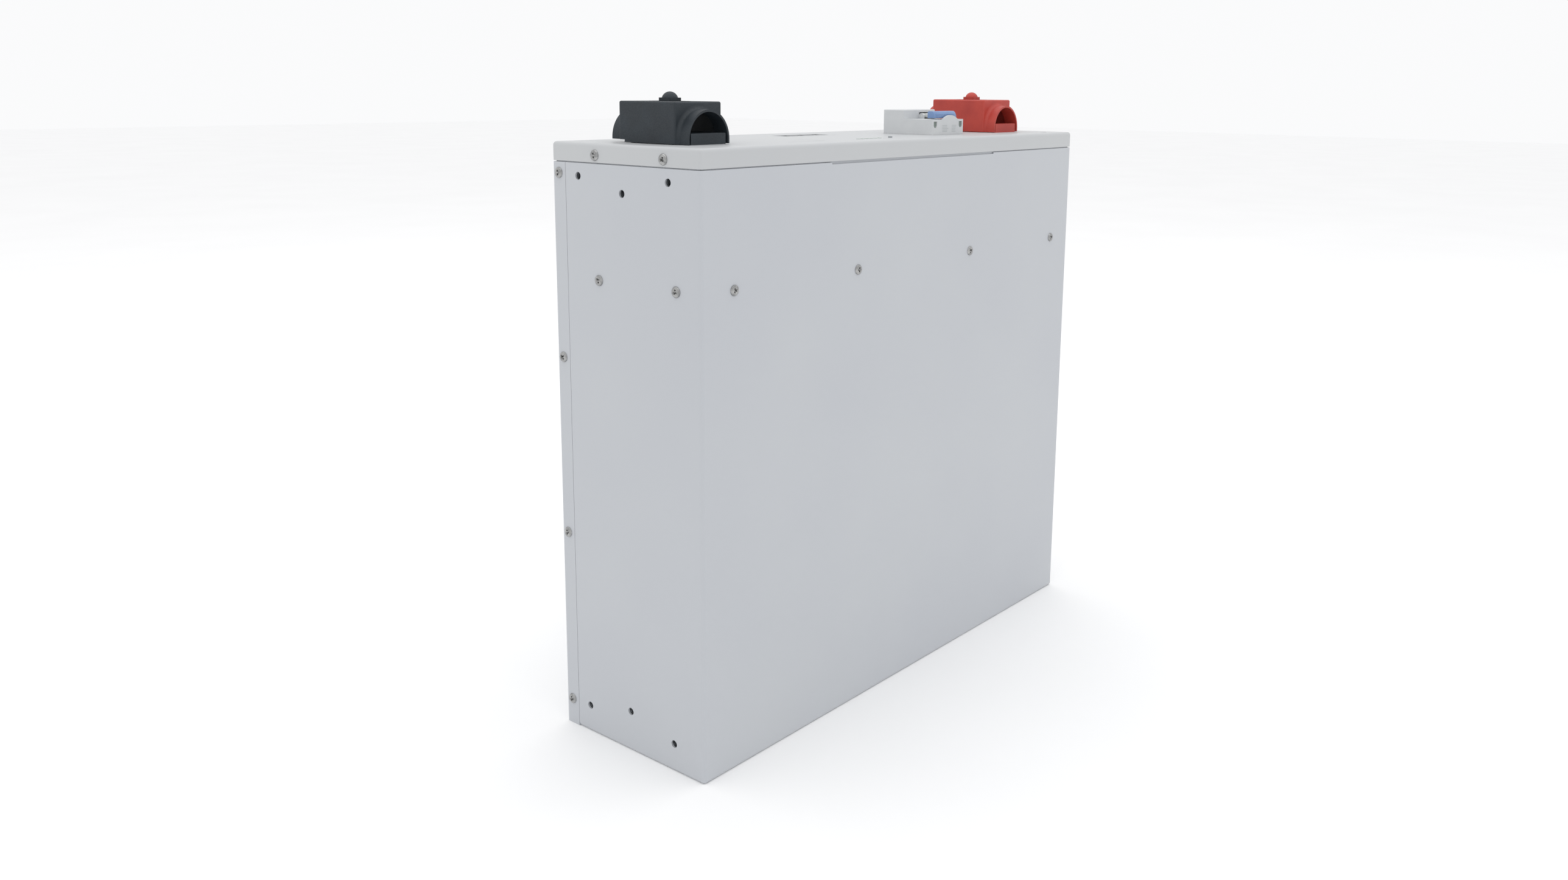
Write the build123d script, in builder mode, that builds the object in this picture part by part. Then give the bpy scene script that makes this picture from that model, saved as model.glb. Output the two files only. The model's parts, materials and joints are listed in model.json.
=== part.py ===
from build123d import *
import os

os.makedirs("parts", exist_ok=True)

# A rack battery in a folded sheet-steel case, standing on its rear panel.
# Millimetres. Origin: centre of the bottom face. X: width, Y: depth, Z: up.

# --- case ---
body_width = 442.0
body_depth = 133.0
body_height = 400.0
sheet = 1.2                  # steel thickness of every case panel
bend = 2.4                   # outside radius of every fold
lid_flange = 12.0            # how far the top panel folds down
lid_seam = 0.8               # open line between top panel and walls
cover_flange = 12.8          # how far the back cover folds round the sides
cover_seam = 0.3
lip_gap = 0.15               # play between a panel and the lip it slides over
lip_return = 12.0            # inward fold of the lip behind the back cover
lip_overlap = 6.0            # width of the step where a lip joins its wall
lip_clearance = 1.3          # upper lip's edge to the panel's underside
joggle = 1.5                 # height of the step where the upper lip joins the walls
notch_length = 198.0         # lowered stretch of the front wall's top edge
notch_drop = 1.1
corner_relief = 3.5          # rounded lower corner of a side wall at the seam

# --- fasteners ---
screw_hole = 4.3
screw_shank = 3.9
tapped_hole = 4.0
screw_head = 7.0
screw_head_height = 1.3
screw_head_round = 0.8
screw_cross_length = 3.9
screw_cross_width = 1.0
screw_length = 8.0
ear_hole = 5.0               # tapping size of the M6 weld nuts for the rack ears
ear_nut_diameter = 10.0
ear_nut_height = 5.0

# --- screw and hole places ---
lid_screw_y = (25.2, -35.8)
lid_screw_drop = 7.5         # below the top face
cover_screw_inset = 6.5      # from the back face
cover_screw_bottom = 18.1
cover_screw_top = 7.0        # topmost screw below the flange's upper edge
cover_screw_count = 4
side_partition_screw_y = (23.4, -45.6)
wide_partition_screw_inset = (28.6, 151.5)  # from the nearer narrow side
partition_screw_drop = 86.0  # below the top face
ear_centre_y = 1.0
ear_corner_y = 40.5          # corner holes, each side of ear_centre_y
ear_corner_inset = 20.0      # corner holes, from the ends of the ears' span
ear_middle_inset = 29.0      # middle holes, from the ends of the ears' span
ear_shift = 1.0              # the span's middle below the case's middle

# --- partition under the electronics ---
partition_flange = 12.0
partition_play = 0.1
partition_relief = 1.0       # partition's edge to the lip steps
screw_above_partition = 4.4
slot_play = 2.0              # round a lead that passes through a slot

# --- cells: two rows of eight prismatic cells, posts facing the back cover ---
cells_per_row = 8
cell_corner = 2.0
separator = 1.4
end_plate = 8.0
end_room = 10.2              # end plate to the side wall's inner face
front_room = 3.3             # cell to the front wall
post_side_room = 15.3        # cell to the back cover
base_pad = 3.0
row_gap = 2.0
top_room = 6.2               # upper row to the partition
post_diameter = 14.0
post_height = 3.5
post_to_band = 5.6           # post's edge to the steel band beside it
vent_length = 24.0
vent_width = 12.0
vent_height = 0.6
plate_play = 0.2             # end plate's thickness under its room
plate_corner = 1.5
busbar_thickness = 2.0
busbar_width = 18.0
busbar_corner = 3.0
band_width = 14.0
band_thickness = 0.9
band_inset = 3.0             # band to the cells' ends
band_play = 0.1
insulator_gap = 1.5          # busbars to the insulator board
insulator_inset = 4.0        # insulator board's side edges inside the lips
insulator_corner = 4.0

# --- terminals ---
negative_inset = 41.0        # stud centre to the case's left face
positive_inset = 51.5        # stud centre to the case's right face
stud_diameter = 8.0
stud_top = 15.4              # above the panel
collar_height = 0.8
collar_overhang = 3.0
stud_bottom = 27.0           # below the panel's top face
base_width = 30.6
base_height = 7.0
base_front = 33.5
base_back = 20.0
boss_diameter = 20.0
boss_depth = 8.0
boss_play = 0.3
nut_height = 6.5
nut_diameter = 14.9          # across corners
washer_thickness = 1.0
washer_diameter = 16.0
base_edge = 0.6
stud_chamfer = 0.8

# --- terminal covers ---
cover_length_x = 41.0
cover_length_y = 50.0
cover_height = 26.0
cover_wall = 2.0
cover_lift = 0.4             # lower edge above the panel
cover_edge = 1.2
arch_radius = 18.25
arch_height = 21.4
arch_reach = 34.0            # arch mouth from the stud, along Y
arch_wall = 1.4
arch_blend = 2.5
recess_diameter = 27.0
recess_depth = 3.5
button_width = 10.2
button_play = 0.3
button_top = 32.0            # above the panel
dome_height = 3.8
button_flange = 14.0
button_flange_thickness = 1.7
button_rest = 0.2            # flange under the well's floor
button_corner = 0.6
skirt_reach = 1.0            # raised edge past the cover's outline
skirt_rise = 1.6             # the cover's lower edge is higher at the back

# --- circuit breaker ---
breaker_width = 43.0
breaker_to_stud = 84.0       # breaker centre to positive stud centre
nose_front = -33.0
nose_length = 46.0
nose_height = 11.6           # low part, above the panel
tower_height = 18.6          # tall part, above the panel
tower_length = 19.0
breaker_length = 84.0
breaker_depth = 48.0         # behind the panel
breaker_edge = 0.7
shoulder_drop = 0.2          # breaker's shoulder under the panel
shoulder_root = 2.0          # how far the nose is rooted in the body
panel_play = 0.3
window_width = 17.4
window_offset = 8.0          # window centre from the breaker's centre
window_sill = 0.3
window_height = 4.7
window_depth = 8.0
ear_thickness = 1.6
lug_inset = 2.0              # how far the axle's lugs reach into the window
pivot_forward = 2.2          # pivot line in front of the tower's face
pivot_height = 2.3           # pivot line above the low part
axle_diameter = 2.0
hub_diameter = 4.0
hub_play = 0.2               # hub to each lug
hub_relief = 0.1             # hub's radius under the lugs' radius
running_play = 0.05
arm_width = 3.0
arm_thickness = 2.4
arm_spacing = 8.0
handle_width = 31.2
handle_depth = 6.2
handle_height = 5.3
handle_clearance = 1.0
hump_width = 20.0
hump_height = 3.2
hump_thickness = 1.8
hump_offset = 3.5
handle_behind_hump = 0.7
handle_edge = 0.8
front_recess_width = 4.4
front_recess_height = 4.8
front_recess_depth = 0.9
front_recess_inset = 4.2     # recess centre to the breaker's side
front_recess_drop = 3.9      # recess centre below the low part's top

# --- communication ports, lamps and reset ---
jack_count = 3
jack_pitch = 17.0
jack_width = 15.2
jack_depth = 13.2
jack_length = 18.0
jack_row_x = -16.5
jack_row_y = 30.0
jack_play = 0.3
jack_drop = 0.4              # jack faces below the panel's top face
socket_width = 11.8
socket_depth = 8.2
socket_length = 13.0
socket_offset = 0.8          # socket's middle behind the jack's middle
latch_width = 5.9
latch_depth = 2.0
lamp_count = 6
lamp_pitch = 5.0
lamp_diameter = 3.0
lamp_row_x = -24.5
lamp_row_y = -40.0
lamp_rise = 0.3              # lamp tips above the panel
reset_x = 0.5
reset_y = -40.0
reset_diameter = 3.0
reset_play = 0.15
reset_travel = 0.8
reset_rise = 0.2             # what stays above the panel when it is pressed
key_width = 7.0
key_height = 7.0
key_floor = 3.0              # floor of the well that the plunger sinks into
key_gap = 0.3                # pressed plunger to that floor
board_thickness = 1.6
board_width = 96.0
board_length = 96.0
board_x = -16.0
board_y = -4.0
spacer_diameter = 6.0
spacer_inset = 5.0

# --- ground point ---
ground_inset_x = 21.0
ground_inset_y = 14.5

# --- battery management board ---
bms_length = 170.0
bms_width = 96.0
bms_inset = 22.0             # from the left wall
bms_standoff = 12.0
sink_length = 110.0
sink_width = 44.0
sink_base = 4.0
sink_height = 18.0
sink_shift_x = 24.0          # heat sink centre from the board's centre
sink_shift_y = -18.0
fin_count = 9
fin_thickness = 1.6
board_corner = 2.0

# --- copper links ---
link_width = 20.0
link_thickness = 3.0
feed_width = 14.0
feed_thickness = 2.0
return_room = 8.0            # return lead to the board's left edge
rail_width = 35.0
rail_height = 7.5
rail_length = 62.0
rail_sheet = 1.0
rail_lip = 5.0               # outward lip of the rail, each side
bridge_thickness = 2.0
tab_thickness = 1.0          # feed's pad against the breaker's clamp
tab_height = 10.0
tab_rise = 15.0              # pad above the breaker's floor
lead_gap = 1.0               # leads' lower ends above the upper cells
return_inset = 8.0           # return lead to the board's back edge
positive_link_width = 14.0   # run behind the breaker
negative_link_drop = 32.0    # fold of the negative link from its stud

# --- places worked out from the sizes above ---
half_width = body_width / 2
half_depth = body_depth / 2
lid_bottom = body_height - lid_flange
wall_top = lid_bottom - lid_seam
panel_under = body_height - sheet
cover_line = half_depth - cover_flange
wall_end = cover_line - cover_seam
inner_x = half_width - sheet
inner_y = half_depth - sheet
lip_x = inner_x - lip_gap
lip_y = inner_y - lip_gap
lip_foot = wall_top - notch_drop - joggle
lip_top = panel_under - lip_clearance
partition_z = body_height - partition_screw_drop
partition_top = partition_z - screw_above_partition
partition_under = partition_top - sheet
screw_z = body_height - lid_screw_drop
cover_screw_y = half_depth - cover_screw_inset
cover_screw_pitch = (wall_top - cover_screw_top - cover_screw_bottom) / (cover_screw_count - 1)
negative_x = negative_inset - half_width
positive_x = half_width - positive_inset
breaker_x = positive_x - breaker_to_stud
tower_face = nose_front + nose_length - tower_length
pivot_y = tower_face - pivot_forward
pivot_z = body_height + nose_height + pivot_height


def side_plane(side, y, z):
    # A plane on a narrow face, looking outwards; side is -1 or 1.
    return Plane(origin=(side * half_width, y, z), x_dir=(0, 1, 0), z_dir=(side, 0, 0))


def wide_plane(side, x, z):
    # A plane on a wide face, looking outwards; side is -1 or 1.
    return Plane(origin=(x, side * half_depth, z), x_dir=(1, 0, 0), z_dir=(0, side, 0))


lid_screw_planes = [side_plane(s, y, screw_z) for s in (-1, 1) for y in lid_screw_y]
cover_screw_planes = [
    side_plane(s, cover_screw_y, cover_screw_bottom + i * cover_screw_pitch)
    for s in (-1, 1)
    for i in range(cover_screw_count)
]
side_partition_planes = [
    side_plane(s, y, partition_z) for s in (-1, 1) for y in side_partition_screw_y
]
wide_x = [s * (half_width - inset) for inset in wide_partition_screw_inset for s in (-1, 1)]
front_partition_planes = [wide_plane(-1, x, partition_z) for x in wide_x]
back_partition_planes = [wide_plane(1, x, partition_z) for x in wide_x]
ear_places = [
    (ear_centre_y + dy, z)
    for dy in (-ear_corner_y, ear_corner_y)
    for z in (ear_corner_inset - ear_shift, body_height - ear_corner_inset - ear_shift)
]
ear_places += [
    (ear_centre_y, z)
    for z in (ear_middle_inset - ear_shift, body_height - ear_middle_inset - ear_shift)
]
ear_planes = [side_plane(s, y, z) for s in (-1, 1) for y, z in ear_places]


# --- chassis: front wall, side walls and floor folded from one sheet ---
with BuildPart() as chassis:
    with BuildSketch():
        with Locations((0, (wall_end - half_depth) / 2)):
            Rectangle(body_width, half_depth + wall_end)
    extrude(amount=wall_top)
    front_folds = chassis.edges().filter_by(Axis.Z).sort_by(Axis.Y)[:2]
    floor_folds = chassis.edges().group_by(Axis.Z)[0].sort_by(Axis.Y)[:3]
    fillet(front_folds + floor_folds, bend)
    with BuildSketch(Plane.XY.offset(sheet)):
        with Locations((0, (wall_end + sheet - inner_y) / 2)):
            Rectangle(2 * inner_x, inner_y + wall_end + sheet)
    extrude(amount=wall_top, mode=Mode.SUBTRACT)
    with BuildSketch(Plane.XY.offset(wall_top - notch_drop)):
        with Locations((0, -half_depth)):
            Rectangle(notch_length, 2 * sheet)
    extrude(amount=notch_drop, mode=Mode.SUBTRACT)
    # rounded relief at the foot of the side walls
    with BuildSketch(Plane.YZ.offset(-half_width)):
        with Locations((wall_end - corner_relief / 2, corner_relief / 2)):
            Rectangle(corner_relief, corner_relief)
        with Locations((wall_end - corner_relief, corner_relief)):
            Circle(corner_relief, mode=Mode.SUBTRACT)
    extrude(amount=body_width, mode=Mode.SUBTRACT)
    # floor lip that carries the back cover's lower edge
    with BuildSketch():
        with Locations((0, (wall_end - corner_relief + lip_y) / 2)):
            Rectangle(2 * lip_x, lip_y - wall_end + corner_relief)
    extrude(amount=sheet)
    with BuildSketch():
        with Locations((0, lip_y - sheet / 2)):
            Rectangle(2 * lip_x, sheet)
    extrude(amount=lip_return)
    # side lips behind the back cover's flanges
    with BuildSketch(Plane.XY.offset(sheet)):
        for s in (-1, 1):
            with Locations((s * (lip_x - sheet / 2), (wall_end - lip_overlap + lip_y) / 2)):
                Rectangle(sheet, lip_y - wall_end + lip_overlap)
            with Locations((s * (inner_x - lip_gap / 2), wall_end - lip_overlap / 2)):
                Rectangle(lip_gap, lip_overlap)
            with Locations((s * (lip_x - lip_return / 2), lip_y - sheet / 2)):
                Rectangle(lip_return, sheet)
    extrude(amount=lip_foot - sheet)
    # joggled lip under the top panel's flanges
    with BuildSketch(Plane.XY.offset(lip_foot)):
        with Locations((0, (wall_end - inner_y) / 2)):
            Rectangle(2 * inner_x, inner_y + wall_end)
        with Locations((0, (lip_y - inner_y) / 2)):
            Rectangle(2 * lip_x, inner_y + lip_y)
        Rectangle(2 * (lip_x - sheet), 2 * (lip_y - sheet), mode=Mode.SUBTRACT)
    extrude(amount=joggle)
    with BuildSketch(Plane.XY.offset(lip_foot)):
        RectangleRounded(2 * lip_x, 2 * lip_y, bend)
        Rectangle(2 * (lip_x - sheet), 2 * (lip_y - sheet), mode=Mode.SUBTRACT)
    extrude(amount=lip_top - lip_foot)
    for plane in lid_screw_planes + cover_screw_planes:
        with BuildSketch(plane):
            Circle(tapped_hole / 2)
        extrude(amount=-3 * sheet, mode=Mode.SUBTRACT)
    for plane in side_partition_planes + front_partition_planes:
        with BuildSketch(plane):
            Circle(screw_hole / 2)
        extrude(amount=-2 * sheet, mode=Mode.SUBTRACT)
    for plane in ear_planes:
        with BuildSketch(plane):
            Circle(ear_hole / 2)
        extrude(amount=-2 * sheet, mode=Mode.SUBTRACT)
chassis.part.label = "chassis"
export_step(chassis.part, "parts/chassis.step")

# --- back cover: wide plate with a flange round each side ---
with BuildPart() as back_cover:
    with BuildSketch():
        with Locations((0, (cover_line + half_depth) / 2)):
            Rectangle(body_width, cover_flange)
    extrude(amount=wall_top)
    fillet(back_cover.edges().filter_by(Axis.Z).sort_by(Axis.Y)[-2:], bend)
    with BuildSketch():
        with Locations((0, (cover_line + inner_y) / 2)):
            Rectangle(2 * inner_x, inner_y - cover_line)
    extrude(amount=wall_top, mode=Mode.SUBTRACT)
    for plane in cover_screw_planes + back_partition_planes:
        with BuildSketch(plane):
            Circle(screw_hole / 2)
        extrude(amount=-2 * sheet, mode=Mode.SUBTRACT)
back_cover.part.label = "back_cover"
export_step(back_cover.part, "parts/back_cover.step")

# --- top panel: shallow tray with the cut-outs for everything it carries ---
jack_places = [(jack_row_x + (i - (jack_count - 1) / 2) * jack_pitch, jack_row_y) for i in range(jack_count)]
lamp_places = [(lamp_row_x + (i - (lamp_count - 1) / 2) * lamp_pitch, lamp_row_y) for i in range(lamp_count)]
ground_place = (half_width - ground_inset_x, ground_inset_y - half_depth)
with BuildPart() as top_panel:
    with BuildSketch(Plane.XY.offset(lid_bottom)):
        Rectangle(body_width, body_depth)
    extrude(amount=lid_flange)
    fillet(top_panel.edges().filter_by(Axis.Z) + top_panel.edges().group_by(Axis.Z)[-1], bend)
    with BuildSketch(Plane.XY.offset(lid_bottom)):
        RectangleRounded(2 * inner_x, 2 * inner_y, bend - sheet)
    extrude(amount=lid_flange - sheet, mode=Mode.SUBTRACT)
    with BuildSketch(Plane.XY.offset(panel_under)):
        with Locations((negative_x, 0), (positive_x, 0)):
            Circle(boss_diameter / 2 + boss_play)
        with Locations((breaker_x, nose_front + nose_length / 2)):
            Rectangle(breaker_width + 2 * panel_play, nose_length + 2 * panel_play)
        with Locations(*jack_places):
            Rectangle(jack_width + 2 * jack_play, jack_depth + 2 * jack_play)
        with Locations(*lamp_places):
            Circle(lamp_diameter / 2 + reset_play)
        with Locations((reset_x, reset_y)):
            Circle(reset_diameter / 2 + reset_play)
        with Locations(ground_place):
            Circle(ear_hole / 2)
    extrude(amount=sheet, mode=Mode.SUBTRACT)
    for plane in lid_screw_planes:
        with BuildSketch(plane):
            Circle(screw_hole / 2)
        extrude(amount=-2 * sheet, mode=Mode.SUBTRACT)
top_panel.part.label = "top_panel"
export_step(top_panel.part, "parts/top_panel.step")


# --- screws, weld nuts ---
def screw(plane):
    # Low round head with a cross recess; the plane is the face it seats on.
    with BuildPart() as piece:
        with BuildSketch(plane):
            Circle(screw_head / 2)
        extrude(amount=screw_head_height)
        rims = piece.edges().filter_by(GeomType.CIRCLE)
        rim = rims.sort_by(lambda e: (e.center() - plane.origin).length)[-1]
        fillet(rim, screw_head_round)
        with BuildSketch(plane):
            Circle(screw_shank / 2)
        extrude(amount=-screw_length)
        with BuildSketch(plane.offset(screw_head_height)):
            Rectangle(screw_cross_length, screw_cross_width)
            Rectangle(screw_cross_width, screw_cross_length)
        extrude(amount=-screw_head_height, mode=Mode.SUBTRACT)
    return piece.part


def round_nut(plane):
    # Weld nut behind the sheet that the plane lies on.
    with BuildPart() as piece:
        with BuildSketch(plane.offset(-sheet)):
            Circle(ear_nut_diameter / 2)
            Circle(ear_hole / 2, mode=Mode.SUBTRACT)
        extrude(amount=-ear_nut_height)
    return piece.part


with BuildPart() as lid_screws:
    for plane in lid_screw_planes:
        add(screw(plane))
lid_screws.part.label = "lid_screws"
export_step(lid_screws.part, "parts/lid_screws.step")

with BuildPart() as cover_screws:
    for plane in cover_screw_planes:
        add(screw(plane))
cover_screws.part.label = "cover_screws"
export_step(cover_screws.part, "parts/cover_screws.step")

with BuildPart() as partition_screws:
    for plane in side_partition_planes + front_partition_planes + back_partition_planes:
        add(screw(plane))
partition_screws.part.label = "partition_screws"
export_step(partition_screws.part, "parts/partition_screws.step")

with BuildPart() as weld_nuts:
    for plane in ear_planes:
        add(round_nut(plane))
    add(round_nut(Plane.XY.offset(body_height).shift_origin((*ground_place, body_height))))
weld_nuts.part.label = "weld_nuts"
export_step(weld_nuts.part, "parts/weld_nuts.step")

# --- partition between cells and electronics ---
feed_y = nose_front + nose_length / 2 - breaker_length / 2 - feed_thickness - tab_thickness
feed_x = breaker_x + breaker_width / 4
return_x = -inner_x + bms_inset + feed_width + return_room
return_y = bms_width / 2 - return_inset
part_x = inner_x - partition_play
part_y = inner_y - partition_play
notch_x = lip_x - lip_return - partition_relief
part_back = wall_end - lip_overlap - partition_relief
with BuildPart() as partition:
    with BuildSketch(Plane.XY.offset(partition_under)):
        with Locations((0, (part_back - part_y) / 2)):
            Rectangle(2 * part_x, part_y + part_back)
        with Locations((0, (part_y - lip_gap) / 2)):
            Rectangle(2 * notch_x, part_y - lip_gap)
    extrude(amount=sheet)
    with BuildSketch(Plane.XY.offset(partition_under)):
        for s in (-1, 1):
            with Locations((s * (part_x - sheet / 2), (part_back - part_y) / 2)):
                Rectangle(sheet, part_y + part_back - 4 * sheet)
        with Locations((0, -part_y + sheet / 2)):
            Rectangle(2 * part_x - 4 * sheet, sheet)
        with Locations((0, part_y - lip_gap - sheet / 2)):
            Rectangle(2 * notch_x, sheet)
    extrude(amount=partition_flange + sheet)
    with BuildSketch(Plane.XY.offset(partition_under)):
        with Locations((feed_x, feed_y + feed_thickness / 2)):
            Rectangle(feed_width + 2 * slot_play, feed_thickness + 2 * slot_play)
        with Locations((return_x, return_y + feed_thickness / 2)):
            Rectangle(feed_width + 2 * slot_play, feed_thickness + 2 * slot_play)
    extrude(amount=sheet, mode=Mode.SUBTRACT)
    for plane in side_partition_planes + front_partition_planes + back_partition_planes:
        with BuildSketch(plane):
            Circle(tapped_hole / 2)
        extrude(amount=-4 * sheet, mode=Mode.SUBTRACT)
partition.part.label = "partition"
export_step(partition.part, "parts/partition.step")

# --- cells ---
stack_length = 2 * (inner_x - end_room - end_plate)
cell_pitch = stack_length / cells_per_row
cell_thickness = cell_pitch - separator
cell_front = -inner_y + front_room
cell_back = inner_y - post_side_room
cell_width = cell_back - cell_front
cell_length = (partition_under - top_room - sheet - base_pad - row_gap) / 2
row_foot = [sheet + base_pad, sheet + base_pad + cell_length + row_gap]
row_middle = [foot + cell_length / 2 for foot in row_foot]
column_x = [(i - (cells_per_row - 1) / 2) * cell_pitch for i in range(cells_per_row)]
post_inset = band_inset + band_width + post_to_band + post_diameter / 2
post_reach = cell_length / 2 - post_inset


def back_facing(x, y, z):
    # A plane looking towards the back cover.
    return Plane(origin=(x, y, z), x_dir=(1, 0, 0), z_dir=(0, 1, 0))


def cell(x, z):
    # Aluminium can with two posts and a vent disc on the side that faces the back cover.
    with BuildPart() as can:
        with BuildSketch(back_facing(x, cell_front, z)):
            RectangleRounded(cell_thickness, cell_length, cell_corner)
        extrude(amount=cell_width)
        with BuildSketch(back_facing(x, cell_back, z)):
            with Locations((0, -post_reach), (0, post_reach)):
                Circle(post_diameter / 2)
        extrude(amount=post_height)
        with BuildSketch(back_facing(x, cell_back, z)):
            SlotOverall(vent_length, vent_width, rotation=90)
        extrude(amount=vent_height)
    return can.part


cell_number = 0
for z in row_middle:
    for x in column_x:
        cell_number += 1
        name = f"cell_{cell_number:02d}"
        one_cell = cell(x, z)
        one_cell.label = name
        export_step(one_cell, f"parts/{name}.step")

with BuildPart() as cell_separators:
    for z in row_middle:
        for i in range(1, cells_per_row):
            x = (i - cells_per_row / 2) * cell_pitch
            with BuildSketch(back_facing(x, cell_front, z)):
                Rectangle(separator, cell_length)
            extrude(amount=cell_width)
cell_separators.part.label = "cell_separators"
export_step(cell_separators.part, "parts/cell_separators.step")

with BuildPart() as end_plates:
    for z in row_middle:
        for s in (-1, 1):
            with BuildSketch(back_facing(s * (stack_length / 2 + end_plate / 2), cell_front, z)):
                RectangleRounded(end_plate - plate_play, cell_length, plate_corner)
            extrude(amount=cell_width)
end_plates.part.label = "end_plates"
export_step(end_plates.part, "parts/end_plates.step")

band_x = stack_length / 2 + end_plate
with BuildPart() as steel_bands:
    for z in row_middle:
        for s in (-1, 1):
            band_z = z + s * (cell_length / 2 - band_width / 2 - band_inset)
            with BuildSketch(Plane.XY.offset(band_z - band_width / 2)):
                with Locations((0, (cell_front + cell_back) / 2)):
                    Rectangle(2 * (band_x + band_thickness), cell_width + 2 * band_thickness + band_play)
                    Rectangle(2 * band_x, cell_width + band_play, mode=Mode.SUBTRACT)
            extrude(amount=band_width)
steel_bands.part.label = "steel_bands"
export_step(steel_bands.part, "parts/steel_bands.step")

# Bars join each cell to the next in its row, and the two rows at the right end.
bar_y = cell_back + post_height
with BuildPart() as cell_busbars:
    for row, z in enumerate(row_middle):
        for i in range(cells_per_row - 1):
            side = 1 if (i + row) % 2 else -1
            x = (i + 1 - cells_per_row / 2) * cell_pitch
            with BuildSketch(back_facing(x, bar_y, z)):
                with Locations((0, side * post_reach)):
                    RectangleRounded(cell_pitch + post_diameter, busbar_width, busbar_corner)
            extrude(amount=busbar_thickness)
    with BuildSketch(back_facing(column_x[-1], bar_y, (row_middle[0] + row_middle[1]) / 2)):
        link_span = row_middle[1] - row_middle[0] - 2 * post_reach
        RectangleRounded(busbar_width, link_span + busbar_width, busbar_corner)
    extrude(amount=busbar_thickness)
cell_busbars.part.label = "cell_busbars"
export_step(cell_busbars.part, "parts/cell_busbars.step")

with BuildPart() as base_foam:
    with BuildSketch(Plane.XY.offset(sheet)):
        with Locations((0, (cell_front + cell_back) / 2)):
            Rectangle(2 * band_x, cell_width)
    extrude(amount=base_pad)
base_foam.part.label = "base_foam"
export_step(base_foam.part, "parts/base_foam.step")

with BuildPart() as row_divider:
    with BuildSketch(Plane.XY.offset(row_foot[1] - row_gap)):
        with Locations((0, (cell_front + cell_back) / 2)):
            Rectangle(2 * band_x, cell_width)
    extrude(amount=row_gap)
row_divider.part.label = "row_divider"
export_step(row_divider.part, "parts/row_divider.step")

with BuildPart() as insulator_board:
    insulator_y = bar_y + busbar_thickness + insulator_gap
    with BuildSketch(back_facing(0, insulator_y, (row_middle[0] + row_middle[1]) / 2)):
        RectangleRounded(2 * (notch_x - insulator_inset), 2 * cell_length + row_gap, insulator_corner)
    extrude(amount=board_thickness)
insulator_board.part.label = "insulator_board"
export_step(insulator_board.part, "parts/insulator_board.step")

# --- battery management board and its heat sink ---
bms_x = -inner_x + bms_inset + bms_length / 2
bms_z = partition_top + bms_standoff
bms_corners = [
    (bms_x + sx * (bms_length / 2 - spacer_inset), sy * (bms_width / 2 - spacer_inset))
    for sx in (-1, 1)
    for sy in (-1, 1)
]
with BuildPart() as bms_board:
    with BuildSketch(Plane.XY.offset(bms_z)):
        with Locations((bms_x, 0)):
            RectangleRounded(bms_length, bms_width, board_corner)
        with Locations((return_x, return_y + feed_thickness / 2)):
            Rectangle(feed_width + slot_play, feed_thickness + slot_play, mode=Mode.SUBTRACT)
    extrude(amount=board_thickness)
bms_board.part.label = "bms_board"
export_step(bms_board.part, "parts/bms_board.step")

sink_foot = bms_z + board_thickness
with BuildPart() as bms_heat_sink:
    with BuildSketch(Plane.XY.offset(sink_foot)):
        with Locations((bms_x + sink_shift_x, sink_shift_y)):
            Rectangle(sink_length, sink_width)
    extrude(amount=sink_base)
    with BuildSketch(Plane.XY.offset(sink_foot + sink_base)):
        with Locations((bms_x + sink_shift_x, sink_shift_y)):
            with GridLocations(0, (sink_width - fin_thickness) / (fin_count - 1), 1, fin_count):
                Rectangle(sink_length, fin_thickness)
    extrude(amount=sink_height - sink_base)
bms_heat_sink.part.label = "bms_heat_sink"
export_step(bms_heat_sink.part, "parts/bms_heat_sink.step")

# --- communication board under the panel, with its jacks, lamps and reset key ---
jack_face = body_height - jack_drop
board_top = jack_face - jack_length
board_under = board_top - board_thickness
board_corners = [
    (board_x + sx * (board_width / 2 - spacer_inset), board_y + sy * (board_length / 2 - spacer_inset))
    for sx in (-1, 1)
    for sy in (-1, 1)
]
with BuildPart() as comms_board:
    with BuildSketch(Plane.XY.offset(board_under)):
        with Locations((board_x, board_y)):
            RectangleRounded(board_width, board_length, board_corner)
    extrude(amount=board_thickness)
comms_board.part.label = "comms_board"
export_step(comms_board.part, "parts/comms_board.step")

with BuildPart() as board_spacers:
    with BuildSketch(Plane.XY.offset(partition_top)):
        with Locations(*bms_corners):
            RegularPolygon(spacer_diameter / 2, 6)
    extrude(amount=bms_standoff)
    with BuildSketch(Plane.XY.offset(board_top)):
        with Locations(*board_corners):
            RegularPolygon(spacer_diameter / 2, 6)
    extrude(amount=panel_under - board_top)
board_spacers.part.label = "board_spacers"
export_step(board_spacers.part, "parts/board_spacers.step")

for i, (x, y) in enumerate(jack_places):
    # Shielded jack with an open socket that steps in at the latch side.
    with BuildPart() as jack:
        with BuildSketch(Plane.XY.offset(board_top)):
            with Locations((x, y)):
                Rectangle(jack_width, jack_depth)
        extrude(amount=jack_length)
        with BuildSketch(Plane.XY.offset(jack_face)):
            with Locations((x, y + socket_offset)):
                Rectangle(socket_width, socket_depth)
            with Locations((x, y + socket_offset - socket_depth / 2 - latch_depth / 2)):
                Rectangle(latch_width, latch_depth)
        extrude(amount=-socket_length, mode=Mode.SUBTRACT)
    jack.part.label = f"comms_jack_{i + 1}"
    export_step(jack.part, f"parts/comms_jack_{i + 1}.step")

with BuildPart() as status_lamps:
    with BuildSketch(Plane.XY.offset(board_top)):
        with Locations(*lamp_places):
            Circle(lamp_diameter / 2)
    extrude(amount=body_height + lamp_rise - board_top)
status_lamps.part.label = "status_lamps"
export_step(status_lamps.part, "parts/status_lamps.step")

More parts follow.
